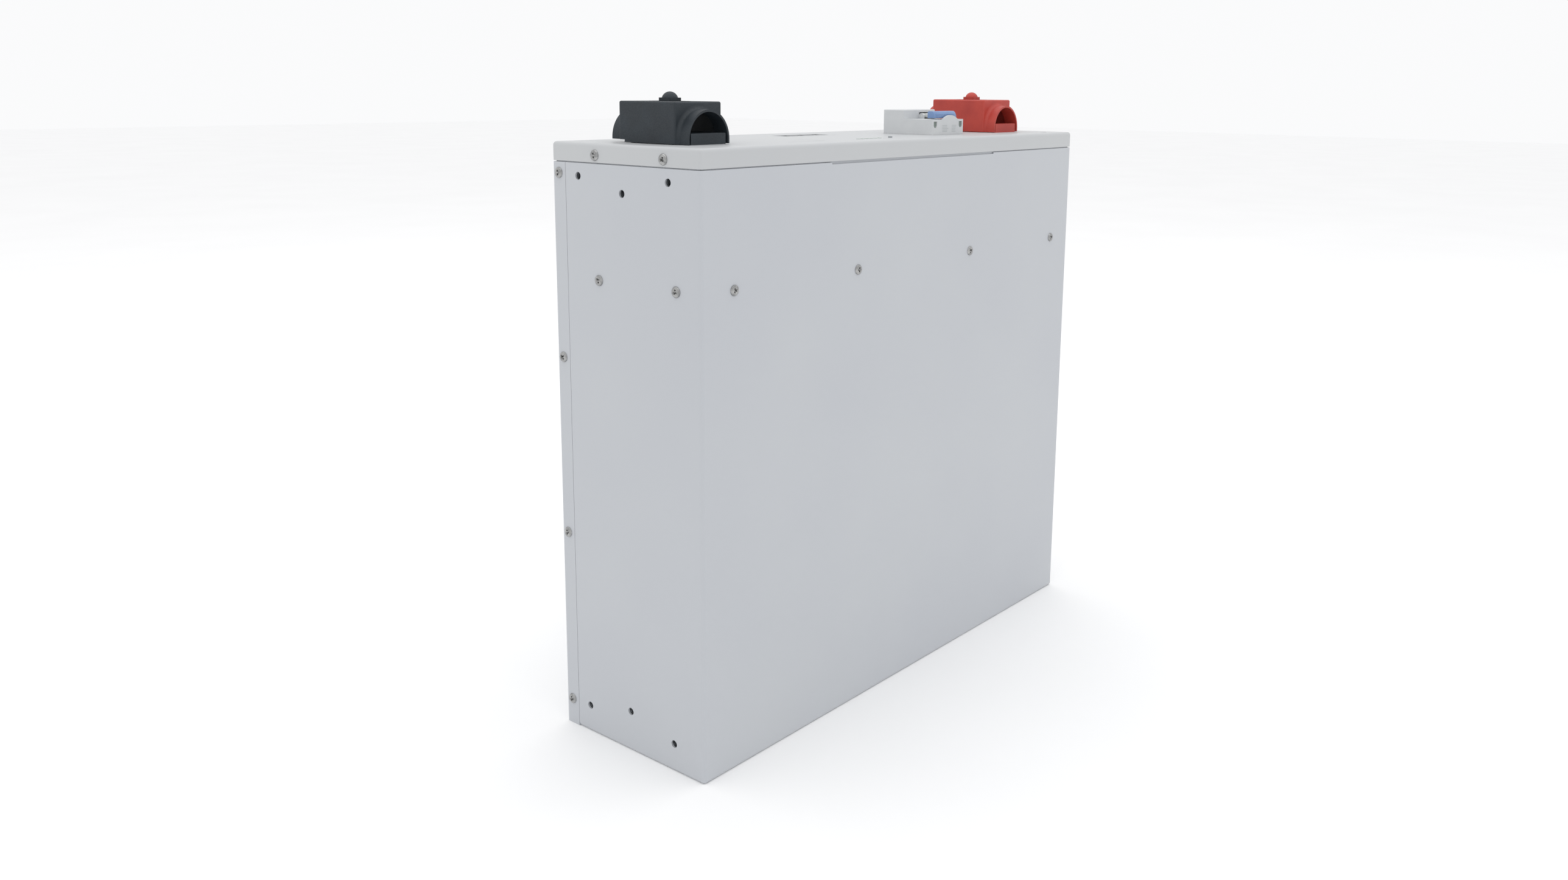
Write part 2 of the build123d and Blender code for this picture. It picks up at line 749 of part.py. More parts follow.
# The key body on the board has a well that the plunger sinks into.
with BuildPart() as reset_key:
    with BuildSketch(Plane.XY.offset(board_top)):
        with Locations((reset_x, reset_y)):
            Rectangle(key_width, key_width)
    extrude(amount=key_height)
    with BuildSketch(Plane.XY.offset(board_top + key_height)):
        with Locations((reset_x, reset_y)):
            Circle(reset_diameter / 2 + reset_play)
    extrude(amount=key_floor - key_height, mode=Mode.SUBTRACT)
reset_key.part.label = "reset_key"
export_step(reset_key.part, "parts/reset_key.step")

plunger_foot = board_top + key_floor + key_gap + reset_travel
with BuildPart() as reset_button:
    with BuildSketch(Plane.XY.offset(plunger_foot)):
        with Locations((reset_x, reset_y)):
            Circle(reset_diameter / 2)
    extrude(amount=body_height + reset_travel + reset_rise - plunger_foot)
reset_button.part.label = "reset_button"
export_step(reset_button.part, "parts/reset_button.step")

# --- terminals ---
boss_bottom = panel_under - boss_depth + sheet
link_top = boss_bottom - washer_thickness - nut_height


def terminal_base(x):
    # Insulating plinth on the panel with a boss through it.
    with BuildPart() as plinth:
        with BuildSketch(Plane.XY.offset(body_height)):
            with Locations((x, (base_back - base_front) / 2)):
                Rectangle(base_width, base_front + base_back)
        extrude(amount=base_height)
        fillet(plinth.edges().group_by(Axis.Z)[-1], base_edge)
        with BuildSketch(Plane.XY.offset(boss_bottom)):
            with Locations((x, 0)):
                Circle(boss_diameter / 2)
        extrude(amount=body_height - boss_bottom)
        with BuildSketch(Plane.XY.offset(boss_bottom)):
            with Locations((x, 0)):
                Circle(stud_diameter / 2 + running_play)
        extrude(amount=body_height + base_height - boss_bottom, mode=Mode.SUBTRACT)
    return plinth.part


def terminal_stud(x):
    # Stud with a round collar that seats on the plinth.
    with BuildPart() as stud:
        with BuildSketch(Plane.XY.offset(body_height - stud_bottom)):
            with Locations((x, 0)):
                Circle(stud_diameter / 2)
        extrude(amount=stud_bottom + stud_top)
        chamfer(stud.edges().group_by(Axis.Z)[-1], stud_chamfer)
        with BuildSketch(Plane.XY.offset(body_height + base_height)):
            with Locations((x, 0)):
                Circle(stud_diameter / 2 + collar_overhang)
        extrude(amount=collar_height)
    return stud.part


def stud_nuts(x):
    # Washer and nut under the boss, and a nut under the copper link.
    with BuildPart() as nuts:
        with BuildSketch(Plane.XY.offset(boss_bottom - washer_thickness)):
            with Locations((x, 0)):
                Circle(washer_diameter / 2)
                Circle(stud_diameter / 2 + running_play, mode=Mode.SUBTRACT)
        extrude(amount=washer_thickness)
        with BuildSketch(Plane.XY.offset(link_top)):
            with Locations((x, 0)):
                RegularPolygon(nut_diameter / 2, 6)
                Circle(stud_diameter / 2 + running_play, mode=Mode.SUBTRACT)
        extrude(amount=nut_height)
        with BuildSketch(Plane.XY.offset(link_top - link_thickness - nut_height)):
            with Locations((x, 0)):
                RegularPolygon(nut_diameter / 2, 6)
                Circle(stud_diameter / 2 + running_play, mode=Mode.SUBTRACT)
        extrude(amount=nut_height)
    return nuts.part


def terminal_cover(x):
    # Box cap with an arched cable outlet on its front and back and a round well on top.
    foot = body_height + cover_lift
    top = body_height + cover_height
    arch_z = body_height + arch_height - arch_radius
    inner_radius = arch_radius - arch_wall
    with BuildPart() as cap:
        with BuildSketch(Plane.XY.offset(foot)):
            with Locations((x, 0)):
                Rectangle(cover_length_x, cover_length_y)
        extrude(amount=top - foot)
        fillet(cap.edges().filter_by(Axis.Z) + cap.edges().group_by(Axis.Z)[-1], cover_edge)
        with BuildSketch(Plane(origin=(x, -arch_reach, arch_z), x_dir=(1, 0, 0), z_dir=(0, 1, 0))):
            Circle(arch_radius)
            with Locations((0, (arch_z - foot) / 2)):
                Rectangle(2 * arch_radius, arch_z - foot)
            with Locations((0, arch_z - foot + arch_radius)):
                Rectangle(2 * arch_radius, 2 * arch_radius, mode=Mode.SUBTRACT)
        extrude(amount=2 * arch_reach)
        joints = [
            e
            for e in cap.edges().filter_by(GeomType.CIRCLE)
            if abs(e.radius - arch_radius) < 0.01 and abs(abs(e.center().Y) - cover_length_y / 2) < 0.01
        ]
        fillet(joints, arch_blend)
        # room inside, under the roof
        with BuildSketch(Plane.XY.offset(foot)):
            with Locations((x, 0)):
                Rectangle(cover_length_x - 2 * cover_wall, cover_length_y - 2 * cover_wall)
        extrude(amount=cover_height - cover_lift - cover_wall, mode=Mode.SUBTRACT)
        with BuildSketch(Plane(origin=(x, -arch_reach, arch_z), x_dir=(1, 0, 0), z_dir=(0, 1, 0))):
            Circle(inner_radius)
            with Locations((0, (arch_z - foot) / 2)):
                Rectangle(2 * inner_radius, arch_z - foot)
        extrude(amount=2 * arch_reach, mode=Mode.SUBTRACT)
        # well for the release button
        with BuildSketch(Plane.XY.offset(top - recess_depth - cover_wall)):
            with Locations((x, 0)):
                Circle(recess_diameter / 2 + cover_wall)
        extrude(amount=recess_depth)
        with BuildSketch(Plane.XY.offset(top - recess_depth)):
            with Locations((x, 0)):
                Circle(recess_diameter / 2)
        extrude(amount=recess_depth, mode=Mode.SUBTRACT)
        with BuildSketch(Plane.XY.offset(top - recess_depth - cover_wall)):
            with Locations((x, 0)):
                Rectangle(button_width + 2 * button_play, button_width + 2 * button_play)
        extrude(amount=cover_wall, mode=Mode.SUBTRACT)
        # raised lower edge at the back
        with BuildSketch(Plane.XY.offset(foot)):
            with Locations((x, (base_back + arch_reach + skirt_reach) / 2)):
                Rectangle(cover_length_x + 2 * skirt_reach, arch_reach + skirt_reach - base_back)
        extrude(amount=skirt_rise, mode=Mode.SUBTRACT)
    return cap.part


def cover_button(x):
    # Square release button with a domed top, held up by a flange under the well's floor.
    shelf = body_height + cover_height - recess_depth - cover_wall - button_rest
    square_top = body_height + button_top - dome_height
    dome_radius = (button_width**2 / 4 + dome_height**2) / (2 * dome_height)
    with BuildPart() as key:
        with BuildSketch(Plane.XY.offset(shelf - button_flange_thickness)):
            with Locations((x, 0)):
                Rectangle(button_flange, button_flange)
        extrude(amount=button_flange_thickness)
        with BuildSketch(Plane.XY.offset(shelf)):
            with Locations((x, 0)):
                RectangleRounded(button_width, button_width, button_corner)
        extrude(amount=square_top - shelf)
        with BuildSketch(Plane(origin=(x, 0, square_top), x_dir=(1, 0, 0), z_dir=(0, -1, 0))):
            with BuildLine():
                Line((0, 0), (button_width / 2, 0))
                RadiusArc((button_width / 2, 0), (0, dome_height), -dome_radius)
                Line((0, dome_height), (0, 0))
            make_face()
        revolve(axis=Axis((x, 0, 0), (0, 0, 1)))
    return key.part


for pole, x in (("negative", negative_x), ("positive", positive_x)):
    pieces = {
        f"{pole}_base": terminal_base(x),
        f"{pole}_stud": terminal_stud(x),
        f"{pole}_stud_nuts": stud_nuts(x),
        f"{pole}_cover": terminal_cover(x),
        f"{pole}_cover_button": cover_button(x),
    }
    for name, piece in pieces.items():
        piece.label = name
        export_step(piece, f"parts/{name}.step")

# --- circuit breaker ---
nose_top = body_height + nose_height
tower_top = body_height + tower_height
nose_middle = nose_front + nose_length / 2
shoulder = panel_under - shoulder_drop
breaker_floor = shoulder - breaker_depth
window_x = breaker_x + window_offset
hub_length = window_width - 2 * ear_thickness - 2 * hub_play
with BuildPart() as breaker_body:
    with BuildSketch(Plane.XY.offset(breaker_floor)):
        with Locations((breaker_x, nose_middle)):
            Rectangle(breaker_width, breaker_length)
    extrude(amount=breaker_depth)
    with BuildSketch(Plane.XY.offset(shoulder - shoulder_root)):
        with Locations((breaker_x, nose_middle)):
            Rectangle(breaker_width, nose_length)
    extrude(amount=nose_top - shoulder + shoulder_root)
    with BuildSketch(Plane.XY.offset(nose_top)):
        with Locations((breaker_x, tower_face + tower_length / 2)):
            Rectangle(breaker_width, tower_length)
    extrude(amount=tower_height - nose_height)
    outer = breaker_body.edges().filter_by(Axis.Z).filter_by_position(Axis.Z, body_height, tower_top)
    fillet(outer + breaker_body.edges().group_by(Axis.Z)[-1], breaker_edge)
    # window in the tower's front face
    with BuildSketch(Plane(origin=(window_x, tower_face, nose_top), x_dir=(1, 0, 0), z_dir=(0, -1, 0))):
        with Locations((0, window_sill + window_height / 2)):
            Rectangle(window_width, window_height)
    extrude(amount=-window_depth, mode=Mode.SUBTRACT)
    # two lugs, rooted in the window's side walls, that hold the handle's axle
    lug_root = pivot_forward + lug_inset
    for s in (-1, 1):
        lug_plane = Plane(
            origin=(window_x + s * window_width / 2, pivot_y, pivot_z), x_dir=(0, 1, 0), z_dir=(1, 0, 0)
        )
        with BuildSketch(lug_plane):
            Circle(hub_diameter / 2)
            with Locations((0, -pivot_height / 2)):
                Rectangle(hub_diameter, pivot_height)
            with Locations((lug_root / 2, (1 - pivot_height) / 2)):
                Rectangle(lug_root, pivot_height + 1)
            Circle(axle_diameter / 2 + running_play, mode=Mode.SUBTRACT)
        extrude(amount=-s * ear_thickness)
    # finger guard on the front edge: a low arch
    guard_radius = (hump_width**2 / 4 + hump_height**2) / (2 * hump_height)
    guard_x = breaker_x + hump_offset
    guard_plane = Plane(origin=(guard_x, nose_front, nose_top), x_dir=(1, 0, 0), z_dir=(0, 1, 0))
    with BuildSketch(guard_plane):
        with Locations((0, guard_radius - hump_height)):
            Circle(guard_radius)
        with Locations((0, guard_radius)):
            Rectangle(2 * guard_radius, 2 * guard_radius, mode=Mode.SUBTRACT)
    extrude(amount=hump_thickness)
    # two blind recesses in the front face
    for s in (-1, 1):
        recess_x = breaker_x + s * (breaker_width / 2 - front_recess_inset)
        recess_z = nose_top - front_recess_drop
        with BuildSketch(Plane(origin=(recess_x, nose_front, recess_z), x_dir=(1, 0, 0), z_dir=(0, -1, 0))):
            SlotOverall(front_recess_height, front_recess_width, rotation=90)
            with Locations((0, front_recess_height / 4)):
                Rectangle(front_recess_width, front_recess_height / 2)
        extrude(amount=-front_recess_depth, mode=Mode.SUBTRACT)
breaker_body.part.label = "breaker_body"
export_step(breaker_body.part, "parts/breaker_body.step")

handle_back = nose_front + hump_thickness + handle_behind_hump + handle_depth
pivot_plane = Plane(origin=(window_x, pivot_y, pivot_z), x_dir=(0, 1, 0), z_dir=(1, 0, 0))
with BuildPart() as toggle_hub:
    with BuildSketch(pivot_plane.offset(-hub_length / 2)):
        Circle(hub_diameter / 2 - hub_relief)
    extrude(amount=hub_length)
    with BuildSketch(pivot_plane.offset(-window_width / 2)):
        Circle(axle_diameter / 2)
    extrude(amount=window_width)
    with BuildSketch(Plane.XY.offset(pivot_z - arm_thickness / 2)):
        with Locations((window_x, (handle_back + pivot_y) / 2)):
            with GridLocations(arm_spacing, 0, 2, 1):
                Rectangle(arm_width, pivot_y - handle_back)
    extrude(amount=arm_thickness)
toggle_hub.part.label = "toggle_hub"
export_step(toggle_hub.part, "parts/toggle_hub.step")

with BuildPart() as breaker_toggle:
    with BuildSketch(Plane.XY.offset(nose_top + handle_clearance)):
        with Locations((breaker_x, handle_back - handle_depth / 2)):
            Rectangle(handle_width, handle_depth)
    extrude(amount=handle_height)
    fillet(breaker_toggle.edges().group_by(Axis.Z)[-1], handle_edge)
breaker_toggle.part.label = "breaker_toggle"
export_step(breaker_toggle.part, "parts/breaker_toggle.step")

# --- rail that the breaker clips to, on a bridge over the partition ---
rail_foot = breaker_floor - rail_height
rail_end = breaker_x - rail_length / 2
with BuildPart() as din_rail:
    with BuildSketch(Plane(origin=(rail_end, nose_middle, rail_foot), x_dir=(0, 1, 0), z_dir=(1, 0, 0))):
        with Locations((0, rail_sheet / 2)):
            Rectangle(rail_width - 2 * rail_lip, rail_sheet)
        for s in (-1, 1):
            with Locations((s * (rail_width / 2 - rail_lip - rail_sheet / 2), rail_height / 2)):
                Rectangle(rail_sheet, rail_height)
            with Locations((s * (rail_width - rail_lip - rail_sheet) / 2, rail_height - rail_sheet / 2)):
                Rectangle(rail_lip + rail_sheet, rail_sheet)
    extrude(amount=rail_length)
din_rail.part.label = "din_rail"
export_step(din_rail.part, "parts/din_rail.step")

with BuildPart() as rail_bridge:
    with BuildSketch(Plane(origin=(0, nose_middle - rail_width / 2, 0), x_dir=(1, 0, 0), z_dir=(0, -1, 0))):
        for s in (-1, 1):
            leg_x = breaker_x + s * (rail_length - bridge_thickness) / 2
            with Locations((leg_x, (partition_top + rail_foot) / 2)):
                Rectangle(bridge_thickness, rail_foot - partition_top)
        with Locations((breaker_x, rail_foot - bridge_thickness / 2)):
            Rectangle(rail_length, bridge_thickness)
    extrude(amount=-rail_width)
rail_bridge.part.label = "rail_bridge"
export_step(rail_bridge.part, "parts/rail_bridge.step")

# --- copper links and leads ---
breaker_back = nose_middle + breaker_length / 2
with BuildPart() as positive_link:
    with BuildSketch(Plane.XY.offset(link_top - link_thickness)):
        with Locations(((feed_x + positive_x) / 2, breaker_back + positive_link_width / 2)):
            Rectangle(positive_x - feed_x + link_width, positive_link_width)
        with Locations((positive_x, (breaker_back + positive_link_width - link_width / 2) / 2)):
            Rectangle(link_width, breaker_back + positive_link_width + link_width / 2)
        with Locations((positive_x, 0)):
            Circle(stud_diameter / 2 + running_play, mode=Mode.SUBTRACT)
    extrude(amount=link_thickness)
positive_link.part.label = "positive_link"
export_step(positive_link.part, "parts/positive_link.step")

link_foot_x = negative_x + negative_link_drop
with BuildPart() as negative_link:
    with BuildSketch(Plane(origin=(0, link_width / 2, 0), x_dir=(1, 0, 0), z_dir=(0, -1, 0))):
        with Locations(((negative_x - link_width / 2 + link_foot_x) / 2, link_top - link_thickness / 2)):
            Rectangle(link_foot_x - negative_x + link_width / 2, link_thickness)
        with Locations((link_foot_x - link_thickness / 2, (sink_foot + link_top) / 2)):
            Rectangle(link_thickness, link_top - sink_foot)
    extrude(amount=link_width)
    with BuildSketch(Plane.XY.offset(link_top - link_thickness)):
        with Locations((negative_x, 0)):
            Circle(stud_diameter / 2 + running_play)
    extrude(amount=link_thickness, mode=Mode.SUBTRACT)
negative_link.part.label = "negative_link"
export_step(negative_link.part, "parts/negative_link.step")

lead_foot = row_foot[1] + cell_length + lead_gap
with BuildPart() as breaker_feed:
    with BuildSketch(Plane.XY.offset(lead_foot)):
        with Locations((feed_x, feed_y + feed_thickness / 2)):
            Rectangle(feed_width, feed_thickness)
    extrude(amount=breaker_floor + tab_rise + tab_height - lead_foot)
    with BuildSketch(Plane.XY.offset(breaker_floor + tab_rise)):
        with Locations((feed_x, feed_y + feed_thickness + tab_thickness / 2)):
            Rectangle(feed_width, tab_thickness)
    extrude(amount=tab_height)
breaker_feed.part.label = "breaker_feed"
export_step(breaker_feed.part, "parts/breaker_feed.step")

with BuildPart() as board_return:
    with BuildSketch(Plane.XY.offset(lead_foot)):
        with Locations((return_x, return_y + feed_thickness / 2)):
            Rectangle(feed_width, feed_thickness)
    extrude(amount=sink_foot + feed_thickness - lead_foot)
    with BuildSketch(Plane.XY.offset(sink_foot)):
        with Locations((return_x, return_y - return_inset / 2)):
            Rectangle(feed_width, return_inset + feed_thickness)
    extrude(amount=feed_thickness)
board_return.part.label = "board_return"
export_step(board_return.part, "parts/board_return.step")
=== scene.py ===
import json
import math
from random import Random

import bmesh
import bpy
from mathutils import Matrix, Quaternion, Vector


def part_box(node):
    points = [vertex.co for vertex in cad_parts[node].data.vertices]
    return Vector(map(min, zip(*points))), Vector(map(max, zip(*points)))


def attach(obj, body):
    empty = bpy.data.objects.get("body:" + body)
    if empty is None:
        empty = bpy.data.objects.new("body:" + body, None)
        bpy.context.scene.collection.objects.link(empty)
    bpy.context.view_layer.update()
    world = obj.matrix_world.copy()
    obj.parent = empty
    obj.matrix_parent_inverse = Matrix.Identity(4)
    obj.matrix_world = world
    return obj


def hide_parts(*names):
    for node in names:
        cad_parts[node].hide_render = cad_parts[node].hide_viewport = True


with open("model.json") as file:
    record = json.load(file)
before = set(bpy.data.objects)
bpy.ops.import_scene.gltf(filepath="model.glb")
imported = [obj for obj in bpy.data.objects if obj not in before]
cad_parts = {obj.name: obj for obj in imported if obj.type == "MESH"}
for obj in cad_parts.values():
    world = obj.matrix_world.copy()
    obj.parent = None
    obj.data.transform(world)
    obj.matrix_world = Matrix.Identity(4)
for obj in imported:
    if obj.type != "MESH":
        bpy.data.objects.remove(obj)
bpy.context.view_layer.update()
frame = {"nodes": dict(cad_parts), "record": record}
print("stage: frame loaded,", len(frame["nodes"]), "nodes")

mm = 0.001
weldMm = 0.001            # corners nearer than this are one corner
noiseSpan = (0.3, 0.7)    # nearly all of a noise's values lie between these


def linear(hexColour):
    # sRGB hex to the linear colour that shaders want
    out = []
    for i in (0, 2, 4):
        c = int(hexColour.lstrip("#")[i:i + 2], 16) / 255
        out.append(c / 12.92 if c <= 0.04045 else ((c + 0.055) / 1.055) ** 2.4)
    return (*out, 1)


def addNode(tree, kind, settings=None, links=None):
    # settings: socket or property -> value; links: socket -> (node, output)
    node = tree.nodes.new(kind)
    for key, value in (settings or {}).items():
        if isinstance(key, int) or key in node.inputs:
            node.inputs[key].default_value = value
        else:
            setattr(node, key, value)
    for key, (source, output) in (links or {}).items():
        tree.links.new(source.outputs[output], node.inputs[key])
    return node


def pattern(tree, inMm, sizeMm, detail, low=0, high=1):
    # blobs about sizeMm across, stretched to run from low to high
    blobs = addNode(tree, "ShaderNodeTexNoise", {"Scale": 1 / sizeMm, "Detail": detail},
                    {"Vector": (inMm, "Vector")})
    span = {"From Min": noiseSpan[0], "From Max": noiseSpan[1], "To Min": low, "To Max": high}
    return addNode(tree, "ShaderNodeMapRange", span, {"Value": (blobs, "Fac")})


def newFinish(name, settings, shades, cloud, gloss=None, bumps=()):
    # A Principled material whose patterns are in millimetres on the object. cloud: (size, detail) of the
    # drift between two shades; gloss: (size, detail, low, high) of the roughness; bumps: (size, detail,
    # depth) each, one on top of the other.
    material = bpy.data.materials.new(name)
    material.use_nodes = True
    tree = material.node_tree
    tree.nodes.clear()
    shader = addNode(tree, "ShaderNodeBsdfPrincipled", settings)
    addNode(tree, "ShaderNodeOutputMaterial", None, {"Surface": (shader, "BSDF")})
    coords = addNode(tree, "ShaderNodeTexCoord")
    toMm = {"Scale": (1 / mm, 1 / mm, 1 / mm)}
    inMm = addNode(tree, "ShaderNodeMapping", toMm, {"Vector": (coords, "Object")})
    light, dark = (linear(shade) for shade in shades)
    drift = pattern(tree, inMm, *cloud)
    mix = addNode(tree, "ShaderNodeMix", {"data_type": "RGBA", 6: light, 7: dark}, {0: (drift, "Result")})
    tree.links.new(mix.outputs[2], shader.inputs["Base Color"])
    if gloss:
        tree.links.new(pattern(tree, inMm, *gloss).outputs["Result"], shader.inputs["Roughness"])
    below = None
    for sizeMm, detail, depthMm in bumps:
        relief = addNode(tree, "ShaderNodeTexNoise", {"Scale": 1 / sizeMm, "Detail": detail},
                         {"Vector": (inMm, "Vector")})
        links = {"Height": (relief, "Fac")}
        if below:
            links["Normal"] = (below, "Normal")
        below = addNode(tree, "ShaderNodeBump", {"Strength": 1.0, "Distance": depthMm * mm}, links)
    if below:
        tree.links.new(below.outputs["Normal"], shader.inputs["Normal"])
    return material, shader, inMm


paint = {
    "case": ("#BDC0C4", "#BABDC2"),
    # lid: the case's grey made a touch warmer, painted light standing in for the overhead lamp on the lid
    "lid": ("#BEC0C1", "#BBBDBF"),
    "cloud": (120, 2),               # slow drift of the tone over a wide face
    "gloss": (0.5, 2, 0.38, 0.48),
    "peel": (1.8, 1, 0.010),         # orange-peel blobs of a sprayed powder
    "wave": (160, 0, 0.12),          # the sheet's own slow waviness
}
plasticCloud = (14, 3)
metalCloud = (2.5, 3)


def powderCoat(name, shades):
    # polyester powder on steel, sprayed and baked: satin, faint orange peel, slow ripples in reflections
    settings = {"IOR": 1.5, "Metallic": 0.0}
    bumps = [paint["wave"], paint["peel"]]
    return newFinish(name, settings, shades, paint["cloud"], paint["gloss"], bumps)[0]


def mouldedPlastic(name, light, dark, roughness, sparkMm=0.7, sparkDepthMm=0.03, ior=1.5):
    # from a spark-eroded mould: matt and finely pitted, its colour even but not flat
    gloss = (sparkMm, 2, *roughness)
    bumps = [(sparkMm, 2, sparkDepthMm)]
    return newFinish(name, {"IOR": ior, "Metallic": 0.0}, (light, dark), plasticCloud, gloss, bumps)[0]


def brightMetal(name, light, dark, roughness, grainMm=0.4, grainDepthMm=0.004):
    # plated, rolled or turned metal: bright, with a slightly uneven lustre
    gloss = (*metalCloud, *roughness)
    bumps = [(grainMm, 2, grainDepthMm)]
    return newFinish(name, {"Metallic": 1.0}, (light, dark), metalCloud, gloss, bumps)[0]


thread = {
    "shades": ("#A9ADB0", "#868B8F"),
    "roughness": 0.35,
    "pitchMm": 1.0,
    "depthMm": 0.2,
}


def threadedSteel():
    # zinc-plated weld nut: the thread's crests catch the light down the bore
    settings = {"Metallic": 1.0, "Roughness": thread["roughness"]}
    material, shader, inMm = newFinish("zincPlatedThread", settings, thread["shades"], metalCloud)
    tree = material.node_tree
    bandsPerMm = math.pi / 10 / thread["pitchMm"]    # the wave node's own unit
    turns = addNode(tree, "ShaderNodeTexWave", {"bands_direction": "X", "Scale": bandsPerMm},
                    {"Vector": (inMm, "Vector")})
    relief = addNode(tree, "ShaderNodeBump", {"Strength": 1.0, "Distance": thread["depthMm"] * mm},
                     {"Height": (turns, "Fac")})
    tree.links.new(relief.outputs["Normal"], shader.inputs["Normal"])
    return material


finishes = {
    "case_paint": powderCoat("powderCoatLightGrey", paint["case"]),
    # metals
    "screw_nickel": brightMetal("nickelPlatedScrewSteel", "#B4B4B3", "#878888", (0.24, 0.38)),
    "galvanised_steel": brightMetal("galvanisedSheetSteel", "#B5BABD", "#999EA2", (0.35, 0.55), 6, 0.01),
    "end_plate_aluminium": brightMetal("millFinishAluminium", "#C6C8CA", "#B2B4B7", (0.35, 0.5)),
    "copper": brightMetal("copperBar", "#C98A63", "#B0714C", (0.25, 0.4)),
    "stud_brass": brightMetal("turnedBrass", "#C9AE6A", "#B39A5A", (0.2, 0.32)),
    "jack_shield": brightMetal("tinPlatedShield", "#C4C6C6", "#AEB0B1", (0.2, 0.35)),
    # plastics, foam and boards
    "cell_can": mouldedPlastic("bluePolyesterFilm", "#2F62A3", "#28568F", (0.25, 0.35), 20, 0.05),
    "foam": mouldedPlastic("closedCellFoam", "#3A3A3C", "#303032", (0.8, 0.95), 1.2, 0.2),
    "insulator": mouldedPlastic("glassFibreSheet", "#D8CFA6", "#C9BF95", (0.4, 0.55), 0.9, 0.03),
    "circuit_board": mouldedPlastic("solderMaskGreen", "#1F6B3B", "#195A31", (0.25, 0.35), 2.5, 0.02),
    "negative_plastic": mouldedPlastic("slateGreyAbs", "#262F36", "#20272D", (0.5, 0.66), 0.8, 0.05),
    "positive_plastic": mouldedPlastic("signalRedAbs", "#BC4236", "#AD3931", (0.46, 0.6), 0.8, 0.05),
    "breaker_plastic": mouldedPlastic("paleGreyPolycarbonate", "#D2D4D5", "#CACCCE", (0.42, 0.54),
                                      0.5, 0.015),
    "hub_plastic": mouldedPlastic("whiteAcetal", "#DCDDDA", "#D2D3D0", (0.32, 0.42), 0.6, 0.01),
    "toggle_plastic": mouldedPlastic("blueAcetal", "#7D98C2", "#728EBA", (0.34, 0.44), 0.6, 0.01),
    "lamp_plastic": mouldedPlastic("frostedLightGuide", "#CBD6CE", "#BFCBC3", (0.12, 0.22), 3, 0.01, 1.49),
    "key_plastic": mouldedPlastic("blackNylon", "#26272A", "#1F2023", (0.45, 0.6)),
}
printInk = mouldedPlastic("greyPrintInk", "#ABB0B2", "#B3B8BA", (0.55, 0.7), 0.15, 0.004)
plugGrey = mouldedPlastic("greyGreenPlug", "#86908A", "#7A847F", (0.6, 0.75), 0.6, 0.02)
otherFinish = {
    # painted light: the top panel wears the lid's warmer lit copy of the case's grey instead of the case's
    # own
    "top_panel": powderCoat("powderCoatPaintedLitGrey", paint["lid"]),
    "weld_nuts": threadedSteel(),
    "reset_button": mouldedPlastic("greyNylonPlunger", "#A3A8AB", "#979CA0", (0.45, 0.6)),
}

slotOf = {part["node"]: part["material_slot"] for part in frame["record"]["subparts"]}
for nodeName, node in frame["nodes"].items():
    finish = otherFinish.get(nodeName, finishes[slotOf[nodeName]])
    if not node.material_slots:
        node.data.materials.append(finish)
    for place in node.material_slots:
        place.material = finish
print("stage: finishes on the frame's nodes")


def boxMm(nodeName):
    low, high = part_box(nodeName)
    return low / mm, high / mm


def newPiece(name, bm, slotName, body, crease=35, finish=None):
    # a mesh drawn in millimetres becomes a piece; edges over crease degrees stay sharp
    bmesh.ops.recalc_face_normals(bm, faces=bm.faces)
    bmesh.ops.scale(bm, vec=(mm, mm, mm), verts=bm.verts)
    mesh = bpy.data.meshes.new(name)
    bm.to_mesh(mesh)
    bm.free()
    mesh.shade_smooth()
    mesh.set_sharp_from_angle(angle=math.radians(crease))
    mesh.materials.append(finish or finishes[slotName])
    piece = bpy.data.objects.new(name, mesh)
    bpy.context.collection.objects.link(piece)
    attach(piece, body)
    return piece


def newBlank(name, bm):
    # a helper object, drawn in millimetres and removed once it has done its work
    mesh = bpy.data.meshes.new(name)
    bm.to_mesh(mesh)
    bm.free()
    blank = bpy.data.objects.new(name, mesh)
    bpy.context.collection.objects.link(blank)
    return blank


def spun(bm, profile, steps, matrix):
    # the first shape of an empty bmesh: (radius, height) points spun round Z, then placed
    verts = [bm.verts.new((radius, 0, height)) for radius, height in profile]
    edges = [bm.edges.new(pair) for pair in zip(verts, verts[1:])]
    bmesh.ops.spin(bm, geom=verts + edges, cent=(0, 0, 0), axis=(0, 0, 1),
                   angle=2 * math.pi, steps=steps, use_merge=True)
    bmesh.ops.transform(bm, matrix=matrix, verts=bm.verts)


def slab(bm, outline, low, high, axis=0):
    # an outline in the plane across an axis, extruded from low to high along it
    spots = [[*pair[:axis], low, *pair[axis:]] for pair in outline]
    face = bm.faces.new([bm.verts.new(spot) for spot in spots])
    shift = [0, 0, 0]
    shift[axis] = high - low
    grown = bmesh.ops.extrude_face_region(bm, geom=[face], use_keep_orig=True)
    tops = [v for v in grown["geom"] if isinstance(v, bmesh.types.BMVert)]
    bmesh.ops.translate(bm, vec=shift, verts=tops)
    return list({f for v in tops for f in v.link_faces} | {face})


def soften(bm, faces, widthMm, segments=2, sharp=0.6):
    # a rounded arris along a slab's edges that turn by more than sharp, in radians
    edges = {e for f in faces for e in f.edges if len(e.link_faces) == 2 and e.calc_face_angle(0) > sharp}
    bmesh.ops.bevel(bm, geom=list(edges), offset=widthMm, segments=segments, affect="EDGES",
                    profile=0.5, material=-1, clamp_overlap=True)


